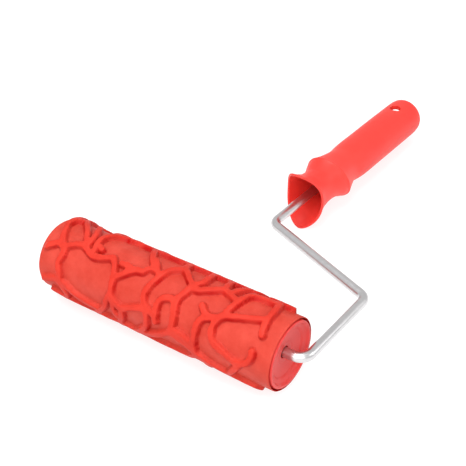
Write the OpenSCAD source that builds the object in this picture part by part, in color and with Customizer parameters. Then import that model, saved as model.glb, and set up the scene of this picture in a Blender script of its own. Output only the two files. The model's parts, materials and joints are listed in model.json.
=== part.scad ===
// Textured pattern roller. A rubber sleeve with a raised cobble pattern sits on a
// plastic core, which turns on a bent steel rod held in a hollow plastic handle.
// The tool is drawn flat, with the roller axis along X and the handle along +Y, and
// is then leaned so that the sleeve and the handle's lower lip rest on the floor.

/* [Roller] */
// Length of the roller over its two end caps
roller_len = 180; // [176:1:184]
// Diameter of the sleeve between the ridges
sleeve_d = 46.8; // [46:0.2:47.4]
// Height of the ridges above the sleeve
ridge_h = 3.2; // [2.8:0.1:3.4]
// Width of a ridge at its top
ridge_top_w = 3.2; // [2.8:0.1:3.8]
// Width of a ridge at its foot
ridge_foot_w = 5.8; // [5.2:0.1:6.6]
// Outside diameter of the plastic core tube
core_d = 37; // [36:0.5:38]
// Wall of the core tube
core_wall = 2.5; // [2:0.1:3]

/* [End caps] */
// Diameter of the cap's flange, which sits in the mouth of the sleeve
flange_d = 44.2; // [44:0.1:44.4]
// Thickness of the flange
flange_t = 4; // [3.8:0.1:4.2]
// How far the cap stands out of the sleeve
cap_proud = 0.7; // [0.5:0.1:0.9]
// Width of the flat rim around the dish
cap_rim_w = 1.8; // [1.6:0.1:2]
// Diameter of the flatter middle of the dish
step_d = 33.2; // [32.6:0.2:33.8]
// Depth of the dish at the edge of its middle
step_depth = 3; // [2.6:0.1:3.2]
// Depth of the dish at the hub
dish_depth = 4.6; // [4.4:0.1:5]
// Diameter of the hole that the rod passes through
eye_d = 7.8; // [7.4:0.1:8.4]
// Wall of the cap
cap_wall = 2; // [1.8:0.1:2.2]
// Length of the cap's spigot inside the core tube
spigot_len = 12; // [10:1:14]
// Outside diameter of the hub
hub_d = 15; // [14:0.5:16]
// Length of the hub
hub_len = 16; // [15:1:18]

/* [Bearings and stops] */
// Outside diameter of a bearing bush
bush_d = 10; // [9.8:0.1:10.2]
// Length of a bearing bush
bush_len = 10; // [8:1:12]
// Clearance between the rod and a bush, on the radius
run_gap = 0.05; // [0.03:0.01:0.08]
// Thickness of a thrust washer
washer_t = 0.8; // [0.6:0.1:1]
// Outside diameter of a thrust washer and of the stop ring
washer_d = 9; // [8.6:0.1:9.2]

/* [Rod] */
// Diameter of the rod
rod_d = 6.5; // [6.3:0.1:6.6]
// Distance from the roller's middle to the side leg
leg_x = 98.8; // [98:0.2:100]
// Distance from the roller axis to the end of the side leg
leg_y = 72.6; // [70:0.2:75]
// Distance from the roller axis to the bend at the handle
neck_y = 109.9; // [108:0.1:112]
// Radius of the bends, at the rod's middle
bend_r = 8; // [7.5:0.5:8]
// How far the rod reaches, measured from the roller axis
rod_end_y = 228; // [220:1:230]

/* [Handle] */
// Offset of the handle's axis from the roller's middle
handle_x = 5; // [4:0.5:6]
// Wall of the cup at the front
cup_wall = 1.8; // [1.6:0.1:2]
// Diameter of the pole socket in the tail
pole_d = 24; // [23.6:0.1:24.4]
// Depth of the pole socket
pole_depth = 70; // [66:1:72]
// Diameter of the hanging hole
hang_d = 8.8; // [8.4:0.1:9.2]
// Distance from the tail end to the hanging hole
hang_in = 19; // [17:1:21]
// Outside diameter of the boss that grips the rod
boss_d = 13; // [12:0.5:14]

/* [Hidden] */
$fn = 64;

half_len = roller_len / 2;
sleeve_r = sleeve_d / 2;
ridge_r = sleeve_r + ridge_h;
core_r = core_d / 2;
bore_gap = 0.06;            // keeps the sleeve's many-sided bore off the core tube
flange_r = flange_d / 2;
sleeve_x = half_len - cap_proud;
flange_x = half_len - flange_t;
dish_x = half_len - dish_depth;
rod_r = rod_d / 2;
bush_out_x = dish_x - 4;    // outer face of a bush
slip = 0.1;                 // end play at each face
edge = 0.5;                 // broken edge of a moulding
eye_t = 1.5;                // thickness of the lip around the hole

// The ridge network. Each line is a list of [distance along the axis, angle round
// the sleeve], with angle 0 at the top and growing towards the front.
RIDGES = [
    // left end, front
    [[-84, -46], [-84, -30], [-83, -16], [-82.5, -3], [-81.3, 4], [-79.8, 11], [-78.5, 18],
     [-77, 25], [-74.5, 32], [-72, 37]],
    [[-83, -16], [-80, -22], [-77, -27]],
    [[-78, -60], [-78, -44], [-77, -30], [-73.5, -20], [-70, -11], [-66.5, -3], [-64, 4.5],
     [-62, 11], [-59.5, 16], [-58, 21]],
    [[-64, -24], [-61, -12], [-58.5, 0], [-57.6, 10], [-57.4, 18], [-56.5, 26]],
    [[-72, 37], [-77.5, 35.3], [-81, 40], [-84, 44.5], [-86, 47]],
    [[-72, 37], [-70.4, 44], [-70.9, 52], [-71.8, 61], [-70.8, 70], [-69.6, 78], [-69.2, 87]],
    [[-72, 37], [-69.5, 33], [-66.5, 28.5], [-63.5, 25], [-60, 23.5], [-56, 26.5], [-52.5, 31],
     [-48, 32.5], [-43, 30], [-39, 26.5], [-36, 23]],
    [[-50.8, 30], [-51, 21], [-52, 13], [-52.6, 4], [-52, -8], [-49.5, -20], [-45, -29],
     [-38, -33], [-29, -34], [-19, -32]],
    [[-51.5, 17], [-48.6, 16.2], [-46.4, 18]],
    [[-50, -22], [-50, -36], [-47, -52]],
    [[-86, 99], [-83, 97], [-79, 93.5], [-75, 89.5], [-71, 87.5]],
    [[-71, 87.5], [-68, 95], [-66, 103], [-65.3, 111], [-68, 126]],
    [[-69, 87], [-65.5, 91], [-62, 95.5], [-58, 101], [-52, 106], [-46, 109], [-37, 112]],
    // left of the middle, front
    [[-36, 23], [-34, 26], [-32, 30.5], [-30.4, 36], [-29.3, 42], [-28.4, 48], [-27.9, 57],
     [-27.4, 66], [-27, 75]],
    [[-27.4, 72], [-29, 80], [-30.3, 89], [-32, 98], [-35, 107], [-38, 115], [-42, 124]],
    [[-27, 75], [-25.4, 80], [-24.6, 88], [-24, 96], [-22, 105]],
    [[-27, 75], [-23.5, 81], [-19.5, 86]],
    [[-28.4, 48], [-26.8, 45.5], [-24.4, 41], [-21.5, 34.3], [-19, 29.2], [-16, 25.6], [-12, 24.2],
     [-10.6, 20.5], [-9, 15.5], [-6, 13.7], [-3.4, 15], [-1.2, 18.5]],
    [[-19, 29.2], [-21, 26.4], [-24, 25], [-27.5, 25.5]],
    [[-20, -31], [-17.5, -19], [-15, -9.5], [-12.4, -1], [-9.4, 6.5], [-6, 13.7]],
    [[-10.5, -3], [-7, 4], [-4.5, 12]],
    [[0.8, 69.3], [-5, 73.5], [-9.5, 77.5], [-13.5, 82], [-17, 87], [-17.8, 95], [-18.5, 103],
     [-20, 112], [-22, 121]],
    // middle, front
    [[9.4, -10], [5.6, -3], [3, 4], [1.6, 11], [0.2, 20], [-1.2, 30], [-2.6, 40], [-3.3, 49],
     [-2.7, 57], [-1.4, 64], [0.8, 69.3]],
    [[9.4, -10], [8.6, -19], [8, -33]],
    [[9.4, -10], [13, -5.2], [15.2, -1.3], [17.5, 3.6], [20, 7.8], [23, 12]],
    [[0.8, 69.3], [4, 71.2], [7.6, 72.6]],
    [[0.8, 69.3], [1.5, 80], [1.6, 90], [1, 98], [-1, 105], [-5, 114], [-11, 127]],
    [[19, 44], [15, 42], [12, 43.8], [9.6, 47.3], [8.1, 52.5], [7.4, 60], [7.5, 68], [7.9, 76],
     [8.6, 82.5]],
    [[-8, 124], [-1, 117], [5, 110], [11, 102.5], [16, 95], [20, 88.5], [26, 92], [32, 97], [37, 104]],
    [[-8, 124], [1, 127], [10, 130], [20, 129], [30, 125], [39, 109]],
    [[23, 12], [22.4, 22], [20.9, 30], [19.5, 38], [19.1, 45], [19.8, 52], [20.6, 60], [21, 68],
     [21, 76], [20.4, 83], [20, 88.5]],
    [[23, 12], [26.3, 4], [27, -6], [26.7, -16], [26, -25], [25, -34]],
    [[20.4, 84], [25, 83.8], [30, 86.5], [34, 91], [37.2, 96]],
    // right end, front
    [[23, 12], [25.5, 16.8], [29.3, 14.6], [32.3, 10.6], [35.3, 6.1], [38.3, 1.1], [41, -3],
     [44, -1.5], [47.5, 1.8], [50.5, 4.6], [54, 9]],
    [[41, -3], [40.3, -14], [39.4, -24], [38.4, -34]],
    [[46.6, 0], [48, -11], [49.6, -21], [52, -33]],
    [[51.8, 34.6], [52.4, 25], [53.2, 18], [54.2, 10], [55, 2], [55.5, -5], [56.4, -12],
     [58.5, -18.5], [62.5, -22], [67, -23], [71, -22.5], [75, -21]],
    [[51.8, 34.6], [48.5, 40.3], [44.5, 43.4], [41, 47], [38.7, 53], [37.8, 62], [37.4, 75],
     [37.2, 86], [37.2, 96], [39, 107], [45, 114], [53, 120], [61, 124]],
    [[51.8, 34.6], [55.5, 32], [59.5, 29], [64.5, 25], [69.5, 21], [76, 15.5]],
    [[42.6, 44.8], [40.6, 42.4], [38.4, 38.6], [35.8, 33.5]],
    [[49.9, 40], [48.4, 49], [48.3, 59], [49.2, 68], [51.6, 74], [55, 77.7], [59, 81], [63, 84.8],
     [67, 87.2], [71, 86.3]],
    [[71, 86.3], [74.1, 82], [76.1, 77], [77.3, 70], [77.2, 62.5]],
    [[72.5, -34], [75, -20], [76.3, -10], [76.8, 0], [76.9, 10], [77.2, 20], [78, 29], [79, 37]],
    [[70.5, 88], [68, 97], [65.8, 104], [64, 111], [61, 124], [70, 130], [76, 136]],
    // over the top edge, behind the cells of the front
    [[-20, -31], [-8, -34], [8, -35], [25, -36], [38.4, -35], [52, -35]],
    [[66, -38], [74, -37], [81, -35]],
    // under the lower edge
    [[-78, 118], [-68, 126], [-60, 131], [-51, 131], [-42, 124], [-33, 129], [-22, 121],
     [-14, 127], [-11, 127]],
    // back, first row
    [[-86, 149], [-82, 146], [-74, 140], [-68, 126], [-62, 138], [-54, 146], [-45, 146], [-42, 124]],
    [[-45, 146], [-38, 152], [-30, 150], [-24, 140], [-22, 121]],
    [[-24, 140], [-16, 146], [-10, 142], [-11, 127]],
    [[-10, 142], [-2, 150], [8, 152], [14, 144], [14, 128]],
    [[14, 144], [24, 150], [34, 150], [42, 142], [45, 130], [45, 114]],
    [[42, 142], [50, 150], [58, 152], [66, 146], [70, 130]],
    [[66, 146], [74, 154], [78, 147], [76, 136]],
    // back, second row
    [[-82, 146], [-84, 160], [-80, 174], [-82, 186]],
    [[-54, 146], [-56, 160], [-58, 176], [-52, 190]],
    [[-30, 150], [-32, 164], [-28, 178], [-30, 190]],
    [[-2, 150], [-4, 164], [0, 178], [-6, 192]],
    [[24, 150], [26, 166], [22, 180], [24, 192]],
    [[50, 150], [54, 166], [50, 182], [52, 194]],
    [[74, 154], [78, 168], [76, 184], [78, 198]],
    [[-86, 189], [-82, 186], [-72, 194], [-62, 198], [-52, 190], [-42, 184], [-30, 190],
     [-20, 198], [-6, 192]],
    [[-6, 192], [6, 186], [16, 196], [24, 192], [36, 186], [46, 198], [52, 194], [64, 188],
     [72, 200], [78, 198]],
    // back, third row
    [[-72, 194], [-74, 208], [-70, 222], [-74, 236]],
    [[-42, 184], [-44, 200], [-40, 216], [-46, 232]],
    [[-20, 198], [-16, 212], [-20, 226], [-16, 240]],
    [[6, 186], [10, 202], [6, 218], [10, 234]],
    [[36, 186], [32, 204], [36, 220], [34, 236]],
    [[64, 188], [60, 206], [64, 222], [60, 238]],
    [[-86, 242], [-82, 244], [-74, 236], [-64, 230], [-54, 240], [-46, 232], [-34, 228],
     [-26, 240], [-16, 240]],
    [[-16, 240], [-4, 246], [10, 234], [22, 230], [34, 236], [46, 244], [60, 238], [72, 234],
     [80, 242]],
    // back, fourth row
    [[-82, 244], [-84, 258], [-80, 272], [-84, 286]],
    [[-54, 240], [-58, 256], [-54, 270], [-58, 286]],
    [[-26, 240], [-30, 254], [-26, 270], [-30, 284]],
    [[-4, 246], [0, 260], [-4, 274], [0, 288]],
    [[22, 230], [26, 248], [22, 264], [26, 282]],
    [[46, 244], [42, 260], [48, 274], [46, 288]],
    [[72, 234], [76, 250], [70, 266], [74, 282]],
    [[-84, 286], [-72, 294], [-58, 286], [-46, 280], [-38, 290], [-30, 284], [-16, 282], [-10, 292]],
    [[-10, 292], [0, 288], [14, 280], [26, 282], [36, 292], [46, 288], [58, 284], [66, 290],
     [74, 282], [80, 284]],
    // back, joined to the front over the top
    [[-72, 294], [-78, 300]],
    [[-46, 280], [-46, 296], [-47, 308]],
    [[-38, 290], [-36, 304], [-39, 330]],
    [[-10, 292], [-14, 306], [-19, 330]],
    [[0, 288], [4, 304], [6, 332]],
    [[26, 282], [28, 300], [25, 327]],
    [[36, 292], [34, 306], [37, 329]],
    [[58, 284], [60, 300], [55, 327]],
    [[66, 290], [70, 306], [72, 327], [76, 322]],
];

// Stations of the handle's skin, from the mouth to the tail. Each is [distance from
// the roller axis, half width, height above the axis, depth below it, how far the
// top and the bottom of a saddle-shaped rim reach forward, tilt of the whole ring].
SKIN = [
    [151, 15.2, 24.4, 23.0, 12, 7, 0],
    [155, 14.2, 20.4, 19.6, 8, 4.5, 0],
    [160, 13.3, 16.5, 15.8, 4, 2, 0],
    [167, 13.2, 15.3, 12.7, 0, 0, 2.5],
    [174, 14.2, 15.4, 13.3, 0, 0, 6],
    [180, 16.5, 17.2, 15.7, 0, 0, 6.8],
    [183, 17.4, 18.6, 16.8, 0, 0, 6.8],
    [184.6, 18.2, 19.6, 17.5, 0, 0, 6.8],
    [186.2, 17.7, 19.0, 16.9, 0, 0, 6.6],
    [192, 15.9, 17.6, 14.2, 0, 0, 5.5],
    [198, 14.3, 16.4, 12.6, 0, 0, 3],
    [203, 13.8, 15.7, 12.5, 0, 0, 0.5],
    [208, 14.3, 15.8, 13.2, 0, 0, 0],
    [214, 14.8, 15.9, 14.1, 0, 0, 0],
    [222, 15.1, 15.8, 14.7, 0, 0, 0],
    [235, 15.1, 15.6, 14.8, 0, 0, 0],
    [260, 15.2, 15.6, 15.0, 0, 0, 0],
    [285, 15.2, 15.3, 15.3, 0, 0, 0],
    [300, 15.1, 15.1, 15.3, 0, 0, 0],
    [304.4, 14.6, 14.6, 14.6, 0, 0, 0],
    [305.4, 13.7, 13.7, 13.7, 0, 0, 0],
];
tail_y = SKIN[len(SKIN) - 1][0];
tail_r = SKIN[len(SKIN) - 1][1];
cup_floor_y = 184;
cup_floor_r = 9;
skin_sides = 36;
sleeve_sides = 96;
sleeve_rings = 60;
lip_y = SKIN[0][0] - SKIN[0][5];
lip_z = SKIN[0][3];

// Lean that brings the lower lip down to the floor that the ridges stand on
lean = asin(ridge_r / norm([lip_y, lip_z])) - atan2(lip_z, lip_y);
mid_x = (leg_x + rod_r - half_len) / 2;
mid_y = (tail_y * cos(lean) + tail_r * sin(lean) - ridge_r) / 2;

// Turn and length of the rod's cross leg, and how much of each corner a bend takes
cross_turn = atan2(leg_x - handle_x, neck_y - leg_y);
cross_len = norm([leg_x - handle_x, neck_y - leg_y]);
bend_cut = bend_r * tan(cross_turn / 2);
elbow_relief = 0.01;        // how much thinner an elbow is than the rod
elbow_lap = 0.2;            // how far a straight runs over an elbow's end

module placed() {
    translate([-mid_x, -mid_y, ridge_r])
        rotate([-lean, 0, 0])
            children();
}

// A ring or disc on the roller axis, from x0 to x1
module axial(x0, x1, outer_r, inner_r = 0) {
    translate([x0, 0, 0])
        rotate([0, 90, 0])
            difference() {
                cylinder(h = x1 - x0, r = outer_r);
                if (inner_r > 0)
                    translate([0, 0, -1]) cylinder(h = x1 - x0 + 2, r = inner_r);
            }
}

// Every piece of ridge, as a pair of points
PIECES = [for (line = RIDGES) for (i = [1 : len(line) - 1]) [line[i - 1], line[i]]];

// The short way round from angle a to angle b
function around(a, b) = (b - a + 900) % 360 - 180;

// Distance over the sleeve's surface from a point to one piece of ridge
function gap_to(x, angle, piece) =
    let (mm_per_deg = PI * (sleeve_r + ridge_r) / 360)
    let (p = [x - piece[0][0], around(piece[0][1], angle) * mm_per_deg])
    let (e = [piece[1][0] - piece[0][0], (piece[1][1] - piece[0][1]) * mm_per_deg])
    norm(p - e * max(0, min(1, p * e / (e * e))));

function near(x, piece) =
    min(piece[0][0], piece[1][0]) - ridge_foot_w < x && x < max(piece[0][0], piece[1][0]) + ridge_foot_w;

// Radius of the sleeve at a distance from the nearest ridge's middle line
function sleeve_radius(gap) =
    let (foot = ridge_foot_w / 2, top = ridge_top_w / 2)
    sleeve_r + ridge_h * max(0, min(1, (foot - gap) / (foot - top)));

function polar(x, angle, r) = [x, -r * sin(angle), r * cos(angle)];

// The sleeve's skin on a grid of rings, and then its smooth bore with a wider mouth
// at each end for the cap
module pattern_sleeve() {
    n = sleeve_sides;
    step = 2 * sleeve_x / sleeve_rings;
    outside = [for (j = [0 : sleeve_rings])
        let (x = j * step - sleeve_x, local = [for (p = PIECES) if (near(x, p)) p])
        [for (k = [0 : n - 1]) let (angle = 360 * k / n)
            polar(x, angle, sleeve_radius(min([ridge_foot_w, for (p = local) gap_to(x, angle, p)])))]];
    mouth_r = flange_r + bore_gap;
    steps = [[sleeve_x, mouth_r], [flange_x, mouth_r], [flange_x, core_r + bore_gap],
             [-flange_x, core_r + bore_gap], [-flange_x, mouth_r], [-sleeve_x, mouth_r]];
    bore = [for (s = steps) [for (k = [0 : n - 1]) polar(s[0], 360 * k / n, s[1])]];
    rings = concat(outside, bore);
    count = len(rings);
    color("tomato") placed() polyhedron(
        points = [for (r = rings) each r],
        faces = [for (j = [0 : count - 1]) for (k = [0 : n - 1])
            let (here = j * n, next = (j + 1) % count * n, k1 = (k + 1) % n) each [
                [here + k, here + k1, next + k1],
                [here + k, next + k1, next + k]]]);
}

module core_tube() {
    color("lightgray") placed() axial(-flange_x, flange_x, core_r, core_r - core_wall);
}

// One moulded cap, drawn as the half outline that is turned about the roller axis
module end_cap_shape() {
    spigot_r = core_r - core_wall;
    rim_r = flange_r - cap_rim_w;
    step_r = step_d / 2;
    hub_r = hub_d / 2;
    outline = [
        [bush_d / 2, dish_x - hub_len], [hub_r, dish_x - hub_len],
        [hub_r, dish_x - cap_wall], [spigot_r - cap_wall, flange_x - cap_wall],
        [spigot_r - cap_wall, flange_x - spigot_len], [spigot_r, flange_x - spigot_len],
        [spigot_r, flange_x], [flange_r, flange_x],
        [flange_r, half_len - edge], [flange_r - edge, half_len],
        [rim_r, half_len], [step_r, half_len - step_depth],
        [hub_r, dish_x], [eye_d / 2, dish_x], [eye_d / 2, dish_x - eye_t], [bush_d / 2, dish_x - eye_t]
    ];
    rotate([0, 90, 0]) rotate_extrude($fn = 96) polygon(outline);
}

module end_cap_near() {
    color("indianred") placed() end_cap_shape();
}

module end_cap_far() {
    color("indianred") placed() rotate([0, 0, 180]) end_cap_shape();
}

module bush_near() {
    color("ivory") placed()
        axial(bush_out_x - bush_len, bush_out_x, bush_d / 2, rod_r + run_gap);
}

module bush_far() {
    color("ivory") placed()
        axial(-bush_out_x, bush_len - bush_out_x, bush_d / 2, rod_r + run_gap);
}

module washer_near() {
    color("silver") placed()
        axial(bush_out_x + slip, bush_out_x + slip + washer_t, washer_d / 2, rod_r);
}

module stop_ring() {
    x0 = bush_out_x + slip + washer_t;
    color("gray") placed() axial(x0, x0 + 1.2, washer_d / 2 - 0.4, rod_r);
}

module washer_far() {
    color("silver") placed()
        axial(-bush_out_x - slip - washer_t, -bush_out_x - slip, washer_d / 2, rod_r);
}

// A domed nut with a flat lip, pressed on the rod's far end
module push_nut() {
    lip_x = -bush_out_x - slip - washer_t;
    nut_r = washer_d / 2;
    color("gray") placed() translate([lip_x, 0, 0]) rotate([0, -90, 0]) rotate_extrude()
        polygon([[rod_r, 0], [nut_r, 0], [nut_r, 0.8], [nut_r - 0.7, 1.2], [rod_r, 2.4]]);
}

// An elbow of the rod that starts at the origin, along +X, and turns left. It is a
// hair thinner than the rod, so that each straight ends squarely around it.
module elbow(turn) {
    translate([0, bend_r, 0]) rotate([0, 0, -90])
        rotate_extrude(angle = turn) translate([bend_r, 0]) circle(r = rod_r - elbow_relief);
}

module straight(length) {
    translate([-elbow_lap, 0, 0]) rotate([0, 90, 0])
        cylinder(h = length + 2 * elbow_lap, r = rod_r);
}

module frame_rod() {
    axle_x0 = -dish_x + 1;
    axle_x1 = leg_x - bend_r;
    leg_len = leg_y - bend_r - bend_cut;
    run_len = cross_len - 2 * bend_cut;
    color("lightsteelblue") placed() union() {
        translate([axle_x0, 0, 0]) straight(axle_x1 - axle_x0);
        translate([axle_x1, 0, 0]) elbow(90);
        translate([leg_x, bend_r, 0]) rotate([0, 0, 90]) {
            straight(leg_len);
            translate([leg_len, 0, 0]) {
                elbow(cross_turn);
                translate([bend_cut, 0, 0]) rotate([0, 0, cross_turn]) translate([bend_cut, 0, 0]) {
                    straight(run_len);
                    translate([run_len, 0, 0]) rotate([180, 0, 0]) elbow(cross_turn);
                }
            }
        }
        translate([handle_x, neck_y + bend_cut, 0]) rotate([0, 0, 90])
            straight(rod_end_y - neck_y - bend_cut);
    }
}

// A point of the smooth curve through the stations, t of the way from i to i + 1
function station(i, t) =
    let (last = len(SKIN) - 1)
    let (a = SKIN[max(i - 1, 0)], b = SKIN[i], c = SKIN[min(i + 1, last)], d = SKIN[min(i + 2, last)])
    0.5 * (2 * b + (c - a) * t + (2 * a - 5 * b + 4 * c - d) * t * t
        + (3 * b - a - 3 * c + d) * t * t * t);

// A ring is an ellipse. Towards the mouth it grows squarer, and its lower half draws in
// to a blunt tongue.
function mouthness(s) = max(0, min(1, (167 - s[0]) / 16));

function bent(c, power) = sign(c) * pow(abs(c), power);

function ring(s, wall = 0) = [for (k = [0 : skin_sides - 1])
    let (turn = 360 * k / skin_sides, up = cos(turn), m = mouthness(s))
    [handle_x + (s[1] - wall) * bent(sin(turn), 1 + (up > 0 ? 0 : 0.15) * m),
     s[0] - s[6] * up - (up > 0 ? s[4] : s[5]) * up * up,
     ((up > 0 ? s[2] : s[3]) - wall) * bent(up, 1 - 0.13 * m)]];

module skin_of_rings(rings) {
    n = skin_sides;
    last = (len(rings) - 1) * n;
    polyhedron(
        points = [for (r = rings) each r],
        faces = [
            [for (k = [0 : n - 1]) k],
            for (j = [0 : len(rings) - 2]) for (k = [0 : n - 1]) each [
                [j * n + k, (j + 1) * n + k, (j + 1) * n + (k + 1) % n],
                [j * n + k, (j + 1) * n + (k + 1) % n, j * n + (k + 1) % n]],
            [for (k = [n - 1 : -1 : 0]) last + k]
        ]);
}

// The skin from the tail to the mouth, and back inside the cup to its floor
module handle_skin() {
    outside = [for (i = [len(SKIN) - 2 : -1 : 0]) for (t = [1, 0.5])
        if (t == 1 || i < len(SKIN) - 3) ring(station(i, t))];
    inside = [for (i = [0 : 2]) for (t = [0, 0.5]) ring(station(i, t), cup_wall)];
    neck_in = [174, 10.4, 11, 10.2, 0, 0, 1];
    floor_in = [cup_floor_y, cup_floor_r, cup_floor_r, cup_floor_r, 0, 0, 0];
    skin_of_rings(concat(outside, [ring(SKIN[0])], inside, [ring(neck_in), ring(floor_in)]));
}

module along_y(y0, y1, r) {
    translate([handle_x, y0, 0]) rotate([-90, 0, 0]) cylinder(h = y1 - y0, r = r);
}

// The skin, bored out for the pole and the rod. Behind the cup's floor it is hollow
// around a boss on the rod, which four ribs hold.
module handle() {
    pole_stop_y = tail_y - pole_depth;
    hollow_y = cup_floor_y + 3;
    hollow_r = 10.6;
    boss_y = hollow_y - 1;
    boss_end_y = pole_stop_y - 3;
    rib_t = 2;
    rib_len = pole_stop_y - hollow_y + 2;
    through = 3 * tail_r;
    color("red") placed() difference() {
        handle_skin();
        along_y(pole_stop_y, tail_y + 1, pole_d / 2);
        along_y(cup_floor_y - 5, rod_end_y, rod_r);
        difference() {
            along_y(hollow_y, pole_stop_y + 1, hollow_r);
            along_y(boss_y, boss_end_y, boss_d / 2);
            for (turn = [45, 135])
                translate([handle_x, pole_stop_y - rib_len / 2, 0]) rotate([0, turn, 0])
                    cube([rib_t, rib_len, 3 * hollow_r], center = true);
        }
        translate([handle_x, tail_y - hang_in, 0]) cylinder(h = through, d = hang_d, center = true);
    }
}

pattern_sleeve();
core_tube();
end_cap_near();
end_cap_far();
bush_near();
bush_far();
washer_near();
stop_ring();
washer_far();
push_nut();
frame_rod();
handle();
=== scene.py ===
"""The looks of a textured pattern roller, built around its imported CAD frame.

Everything is drawn in the tool's own frame, in millimetres: the roller axis is X, the
handle runs along +Y, and the roller's middle is the origin. `to_row` then leans and
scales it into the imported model's frame.
"""

import json
import math

import bmesh
import bpy
import numpy as np
from mathutils import Matrix, Vector
from mathutils.noise import noise


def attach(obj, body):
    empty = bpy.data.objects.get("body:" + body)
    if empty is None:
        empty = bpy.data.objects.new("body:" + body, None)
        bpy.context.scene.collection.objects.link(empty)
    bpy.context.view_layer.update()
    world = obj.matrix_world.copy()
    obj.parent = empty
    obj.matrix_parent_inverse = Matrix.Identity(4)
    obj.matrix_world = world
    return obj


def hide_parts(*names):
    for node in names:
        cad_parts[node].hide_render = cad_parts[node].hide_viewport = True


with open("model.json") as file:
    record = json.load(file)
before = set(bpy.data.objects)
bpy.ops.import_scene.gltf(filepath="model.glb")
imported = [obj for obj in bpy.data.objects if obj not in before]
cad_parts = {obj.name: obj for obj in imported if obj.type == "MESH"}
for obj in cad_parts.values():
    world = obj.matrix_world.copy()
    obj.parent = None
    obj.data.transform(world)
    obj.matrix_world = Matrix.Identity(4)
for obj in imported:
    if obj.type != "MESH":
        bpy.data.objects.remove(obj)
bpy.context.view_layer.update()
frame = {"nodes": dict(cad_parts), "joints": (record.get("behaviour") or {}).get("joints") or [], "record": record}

MM = 0.001
JOINT = frame["joints"][0]
POLE = next(m for m in frame["record"]["mounts"] if m["name"] == "pole_socket")
HANG = next(m for m in frame["record"]["mounts"] if m["name"] == "hanging_hole")
LEAN = math.atan2(-POLE["axis"][2], POLE["axis"][1])
TOOL = Matrix.Translation(JOINT["pos_m"]) @ Matrix.Rotation(-LEAN, 4, "X")
TO_ROW = TOOL @ Matrix.Scale(MM, 4)
FROM_ROW = TO_ROW.inverted()


def in_tool(point_m):
    """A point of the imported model, in the tool's own millimetres."""
    return FROM_ROW @ Vector(point_m)


# ---------------------------------------------------------------- sizes, in millimetres
ROLLER_LEN = 180.0
HALF_LEN = ROLLER_LEN / 2
SLEEVE_R = 23.4
RIDGE_H = 3.2
CORE_R = 18.5
CORE_WALL = 2.5
FLANGE_R = 22.1
FLANGE_X = HALF_LEN - 4
SLEEVE_END = HALF_LEN - 0.7
STEP_R = 16.6
DISH_X = HALF_LEN - 4.6
HUB_BORE_R = 5.0
EYE_R = 3.9
ROD_R = 3.25
LEG_X = 98.8
LEG_Y = 72.6
NECK_Y = 109.9
BEND_R = 8.0
ROD_END_Y = 228.0
HANDLE_X = in_tool(POLE["pos_m"]).x
POLE_R = POLE["dims"]["r_mm"]
POLE_DEPTH = POLE["dims"]["length_mm"]
HANG_R = HANG["dims"]["r_mm"]
HANG_Y = in_tool(HANG["pos_m"]).y
CUP_WALL = 1.8
CUP_FLOOR_Y = 184.0
BOSS_R = 6.5
RIB_CAVITY_R = 10.6
RIB_CAVITY_Y = CUP_FLOOR_Y + 3
RIB_T = 2.0
SOCKET_CHAMFER = 0.7

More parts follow.
